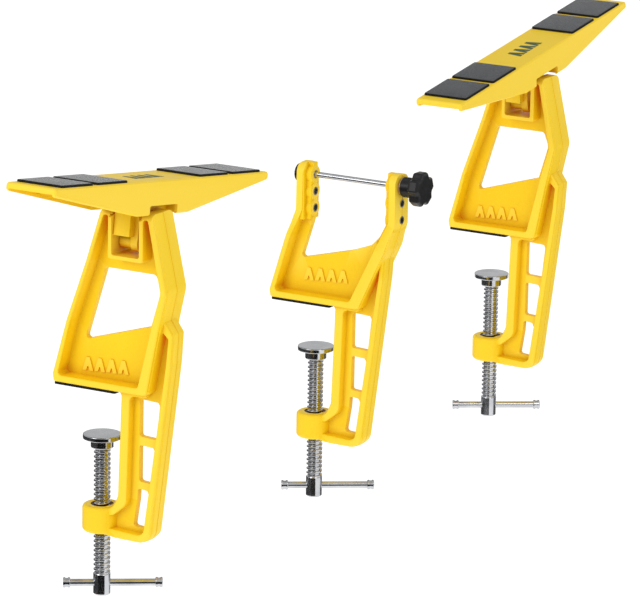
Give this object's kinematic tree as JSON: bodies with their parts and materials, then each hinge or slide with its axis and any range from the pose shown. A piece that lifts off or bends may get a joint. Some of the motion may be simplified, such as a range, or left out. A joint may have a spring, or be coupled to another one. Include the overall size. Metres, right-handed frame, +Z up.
{
  "type": "ski vise set",
  "caption": "Bench vise set for edge tuning and waxing skis: screw-clamped supports with tilting padded heads and a centre vise with a clamping rod and star knob.",
  "frame": {"origin": "on the bench-top plane under the centre vise's jaw pad, on the axis of its clamping screw", "axes": "+X away from the bench, +Y along the bench edge towards the far support, +Z up"},
  "size_m": [0.1473, 0.9664, 0.3771],
  "materials": {
    "yellow_plastic": "satin gloss, moulded",
    "black_rubber": "matte",
    "grey_rubber": "matte, fine grain",
    "zinc_steel": "bright plated",
    "dark_steel": "blackened, oily",
    "brass": "turned",
    "black_plastic": "satin"
  },
  "bodies": {
    "near_support": {"near_frame": "yellow_plastic", "near_jaw_pad": "black_rubber", "near_thread_insert": "dark_steel", "near_hinge_pin": "zinc_steel"},
    "near_press": {"near_swivel_plate": "zinc_steel"},
    "near_spindle": {"near_screw": "zinc_steel"},
    "near_handle": {"near_tommy_bar": "zinc_steel", "near_bar_cap_a": "zinc_steel", "near_bar_cap_b": "zinc_steel"},
    "centre_support": {"centre_frame": "yellow_plastic", "centre_jaw_pad": "black_rubber", "centre_thread_insert": "dark_steel", "left_bush_high": "zinc_steel", "right_bush_high": "zinc_steel", "left_bush_mid": "zinc_steel", "right_bush_mid": "zinc_steel", "left_bush_low": "zinc_steel", "right_bush_low": "zinc_steel"},
    "centre_press": {"centre_swivel_plate": "zinc_steel"},
    "centre_spindle": {"centre_screw": "zinc_steel"},
    "centre_handle": {"centre_tommy_bar": "zinc_steel", "centre_bar_cap_a": "zinc_steel", "centre_bar_cap_b": "zinc_steel"},
    "far_support": {"far_frame": "yellow_plastic", "far_jaw_pad": "black_rubber", "far_thread_insert": "dark_steel", "far_hinge_pin": "zinc_steel"},
    "far_press": {"far_swivel_plate": "zinc_steel"},
    "far_spindle": {"far_screw": "zinc_steel"},
    "far_handle": {"far_tommy_bar": "zinc_steel", "far_bar_cap_a": "zinc_steel", "far_bar_cap_b": "zinc_steel"},
    "near_head": {"near_head": "yellow_plastic", "near_head_pad_1": "grey_rubber", "near_head_pad_2": "grey_rubber", "near_head_pad_3": "grey_rubber", "near_head_pad_4": "grey_rubber"},
    "far_head": {"far_head": "yellow_plastic", "far_head_pad_1": "grey_rubber", "far_head_pad_2": "grey_rubber", "far_head_pad_3": "grey_rubber", "far_head_pad_4": "grey_rubber"},
    "rod": {"clamp_rod": "zinc_steel", "rod_head": "black_plastic"},
    "washer": {"knob_washer": "zinc_steel"},
    "knob": {"star_knob": "black_plastic", "knob_insert": "brass"}
  },
  "joints": [
    {"name": "near_press_slide", "type": "slide", "parent": "near_support", "child": "near_press", "axis": [0, 0, 1], "range_m": [-0.0415, 0.0315]},
    {"name": "near_screw_turn", "type": "hinge", "parent": "near_press", "child": "near_spindle", "pos_m": [0, -0.3415, -0.04], "axis": [0, 0, 1], "range_deg": [-3690, 2790]},
    {"name": "near_bar_slide", "type": "slide", "parent": "near_spindle", "child": "near_handle", "axis": [0.829, 0.5592, 0], "range_m": [-0.036, 0.018]},
    {"name": "centre_press_slide", "type": "slide", "parent": "centre_support", "child": "centre_press", "axis": [0, 0, 1], "range_m": [-0.0415, 0.0315]},
    {"name": "centre_screw_turn", "type": "hinge", "parent": "centre_press", "child": "centre_spindle", "pos_m": [0, 0, -0.04], "axis": [0, 0, 1], "range_deg": [-3690, 2790]},
    {"name": "centre_bar_slide", "type": "slide", "parent": "centre_spindle", "child": "centre_handle", "axis": [0.829, 0.5592, 0], "range_m": [-0.039, 0.015]},
    {"name": "far_press_slide", "type": "slide", "parent": "far_support", "child": "far_press", "axis": [0, 0, 1], "range_m": [-0.0415, 0.0315]},
    {"name": "far_screw_turn", "type": "hinge", "parent": "far_press", "child": "far_spindle", "pos_m": [0, 0.3205, -0.04], "axis": [0, 0, 1], "range_deg": [-3690, 2790]},
    {"name": "far_bar_slide", "type": "slide", "parent": "far_spindle", "child": "far_handle", "axis": [0.829, 0.5592, 0], "range_m": [-0.034, 0.02]},
    {"name": "near_head_tilt", "type": "hinge", "parent": "near_support", "child": "near_head", "pos_m": [0.03175, -0.3415, 0.1245], "axis": [1, 0, 0], "range_deg": [-0.5, 16.5]},
    {"name": "near_support_slide", "type": "slide", "parent": "centre_support", "child": "near_support", "axis": [0, 1, 0], "range_m": [-0.15, 0.05]},
    {"name": "far_head_tilt", "type": "hinge", "parent": "far_support", "child": "far_head", "pos_m": [0.03175, 0.3205, 0.1245], "axis": [1, 0, 0], "range_deg": [-16.5, 0.5]},
    {"name": "far_support_slide", "type": "slide", "parent": "centre_support", "child": "far_support", "axis": [0, 1, 0], "range_m": [-0.05, 0.15]},
    {"name": "rod_spin", "type": "hinge", "parent": "centre_support", "child": "rod", "pos_m": [0.03, 0, 0.113], "axis": [1, 0, 0], "continuous": true},
    {"name": "knob_travel", "type": "slide", "parent": "centre_support", "child": "washer", "axis": [1, 0, 0], "range_m": [0, 0.0081]},
    {"name": "knob_turn", "type": "hinge", "parent": "washer", "child": "knob", "pos_m": [0.1, 0, 0.113], "axis": [1, 0, 0], "range_deg": [0, 3600]}
  ],
  "couplings": [
    {"joint": "near_press_slide", "follows": "near_screw_turn", "m_per_rad": 0.00063662},
    {"joint": "centre_press_slide", "follows": "centre_screw_turn", "m_per_rad": 0.00063662},
    {"joint": "far_press_slide", "follows": "far_screw_turn", "m_per_rad": 0.00063662},
    {"joint": "knob_travel", "follows": "knob_turn", "m_per_rad": 0.00012732}
  ]
}
